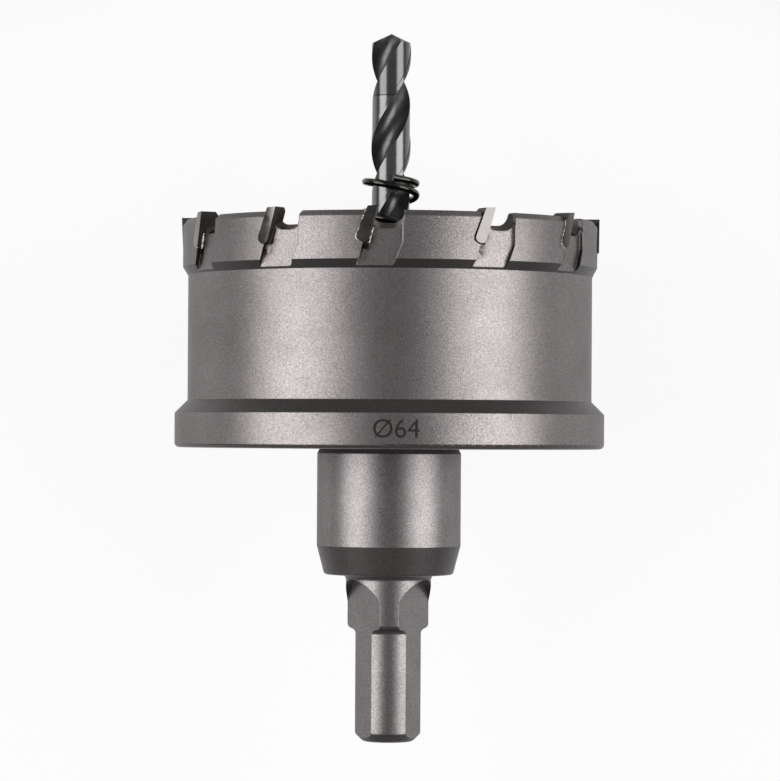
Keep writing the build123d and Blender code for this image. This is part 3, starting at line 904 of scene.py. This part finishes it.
def makePaper():
    material = bpy.data.materials.new("whiteSeamlessPaper")
    material.use_nodes = True
    tree = material.node_tree
    tree.nodes.clear()
    place = addNode(tree, "ShaderNodeTexCoord").outputs["Object"]
    oval = addNode(tree, "ShaderNodeVectorMath", {"operation": "MULTIPLY"}, {
        0: place, 1: (1, studio["alongAxis"], 0)})
    reach = addNode(tree, "ShaderNodeVectorMath", {"operation": "LENGTH"}, {
        0: oval.outputs["Vector"]})
    # painted pool of light: white in the middle, painted grey further out
    paintedFalloff = addNode(tree, "ShaderNodeMapRange", {"interpolation_type": "SMOOTHSTEP"}, {
        "Value": reach.outputs["Value"], "From Min": studio["lightPoolReach"][0],
        "From Max": studio["lightPoolReach"][1]})
    tone = addNode(tree, "ShaderNodeMix", {"data_type": "RGBA"}, {
        0: paintedFalloff.outputs["Result"], 6: linearColour(studio["floorColour"]),
        7: linearColour(studio["falloffShade"])})
    paper = addNode(tree, "ShaderNodeBsdfDiffuse", (), {"Color": tone.outputs[2]})
    white = addNode(tree, "ShaderNodeEmission", (), {"Color": tone.outputs[2], "Strength": 1.0})
    ray = addNode(tree, "ShaderNodeLightPath")
    seen = addNode(tree, "ShaderNodeMath", {"operation": "MAXIMUM"}, {
        0: ray.outputs["Is Camera Ray"], 1: ray.outputs["Is Glossy Ray"]})
    seen = addNode(tree, "ShaderNodeMath", {"operation": "MAXIMUM"}, {
        0: seen.outputs["Value"], 1: ray.outputs["Is Transmission Ray"]})
    share = addNode(tree, "ShaderNodeMath", {"operation": "MULTIPLY"}, {
        0: seen.outputs["Value"], 1: studio["backgroundShare"]})
    mixed = addNode(tree, "ShaderNodeMixShader", (), {
        0: share.outputs["Value"], 1: paper.outputs["BSDF"], 2: white.outputs["Emission"]})
    addNode(tree, "ShaderNodeOutputMaterial", (), {"Surface": mixed.outputs["Shader"]})
    return material


def makeFloor():
    half = studio["floorHalf"]
    corners = [(x * half, y * half, cadBox[0].z) for x, y in ((-1, -1), (1, -1), (1, 1), (-1, 1))]
    mesh = bpy.data.meshes.new("paperFloor")
    mesh.from_pydata(corners, [], [(0, 1, 2, 3)])
    mesh.materials.append(makePaper())
    floor = bpy.data.objects.new("paperFloor", mesh)
    scene.collection.objects.link(floor)


def makeSoftbox(name, outwards, along, size, level):
    light = bpy.data.lights.new(name, "AREA")
    light.shape = "RECTANGLE"
    light.size, light.size_y = size
    light.energy = level * pi * size[0] * size[1]  # level is how bright its face looks
    lamp = bpy.data.objects.new(name, light)
    scene.collection.objects.link(lamp)
    sideways = along.cross(outwards).normalized()
    turned = Matrix((sideways, outwards.cross(sideways), outwards)).transposed().to_4x4()
    lamp.matrix_world = Matrix.Translation(outwards * studio["boxDistance"]) @ turned
    lamp.visible_camera = False


def makeKeyLight(name, span):
    # A long box beside the tool, which draws one bright stripe down each round surface
    middle = radians(sum(span) / 2)
    width = 2 * studio["boxDistance"] * tan(radians((span[1] - span[0]) / 2))
    makeSoftbox(name, Vector((sin(middle), 0, cos(middle))), Vector((0, 1, 0)),
                (width, studio["boxLength"]), studio["boxLevel"])


def makeFillLights():
    # Weak low boxes at the four corners, which shape the tool when it is seen from the side
    rise = radians(studio["fillRise"])
    for degrees in studio["fillTurns"]:
        turn = radians(degrees)
        outwards = Vector((sin(turn) * cos(rise), cos(turn) * cos(rise), sin(rise)))
        makeSoftbox(f"fillSoftbox{degrees}", outwards, Vector((0, 0, 1)),
                    (studio["fillSize"], studio["fillSize"]), studio["fillLevel"])


def makeWorld():
    world = bpy.data.worlds.new("dimStudio")
    world.use_nodes = True
    world.node_tree.nodes.clear()
    sky = addNode(world.node_tree, "ShaderNodeBackground", (), {
        "Color": (1, 1, 1, 1), "Strength": studio["worldLevel"]})
    addNode(world.node_tree, "ShaderNodeOutputWorld", (), {"Surface": sky.outputs["Background"]})
    scene.world = world


# Straight above the tool, in millimetres and degrees
camera = {
    "place": (0.0, 2.48, 520.0),
    "aim": (0.07, 8.83, 0.0),
    "roll": 0.332,
    "lens": 156.9,
    "sensor": 36.0,
    "clip": (10.0, 10000.0),
}


def makeCamera():
    data = bpy.data.cameras.new("camera")
    data.sensor_fit = "HORIZONTAL"
    data.sensor_width = camera["sensor"]
    data.lens = camera["lens"]
    data.clip_start = camera["clip"][0] * mm
    data.clip_end = camera["clip"][1] * mm
    eye = bpy.data.objects.new("camera", data)
    scene.collection.objects.link(eye)
    place = Vector(camera["place"]) * mm
    back = (place - Vector(camera["aim"]) * mm).normalized()
    roll = radians(camera["roll"])
    right = Vector((cos(roll), sin(roll), 0))
    right = (right - back * right.dot(back)).normalized()
    turned = Matrix((right, back.cross(right), back)).transposed().to_4x4()
    eye.matrix_world = Matrix.Translation(place) @ turned
    scene.camera = eye


makeFloor()
makeKeyLight("leftSoftbox", studio["leftBox"])
makeKeyLight("rightSoftbox", studio["rightBox"])
makeFillLights()
makeWorld()
makeCamera()
scene.view_settings.view_transform = "Standard"
print("studio: floor, softboxes and camera")
